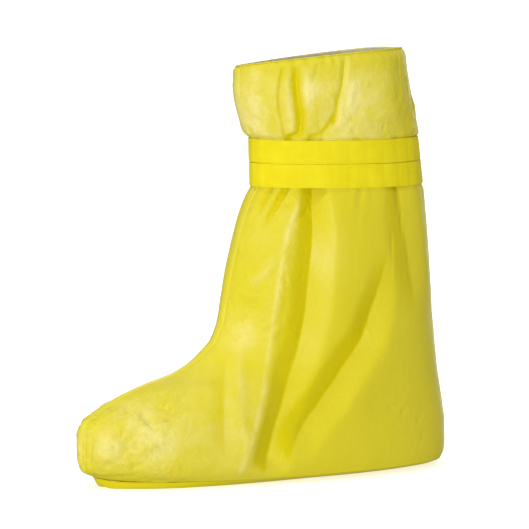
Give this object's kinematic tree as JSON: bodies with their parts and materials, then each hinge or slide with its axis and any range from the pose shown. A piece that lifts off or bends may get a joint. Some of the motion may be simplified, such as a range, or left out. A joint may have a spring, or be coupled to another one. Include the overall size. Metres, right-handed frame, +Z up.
{
  "type": "protective overshoe",
  "caption": "Tall slip-on protective overshoe of coated fabric with a soft flat sole, a tie wound round the leg and an elastic collar.",
  "frame": {"origin": "on the floor, under the middle of the shoe's bounding box", "axes": "+X towards the toe, +Y towards the left side, +Z up"},
  "size_m": [0.3516, 0.126, 0.367],
  "materials": {
    "coated_fabric": "smooth yellow film coating, satin",
    "seam_tape": "yellow film tape, satin",
    "tie_fabric": "flat yellow woven tie, matt",
    "collar_elastic": "off-white elastic, matt"
  },
  "bodies": {
    "root": {"upper": "coated_fabric", "sole": "coated_fabric", "sole_seam_tape": "seam_tape", "front_seam_tape": "seam_tape", "back_seam_tape": "seam_tape", "tie_wrap": "tie_fabric", "collar_elastic": "collar_elastic"}
  },
  "joints": []
}
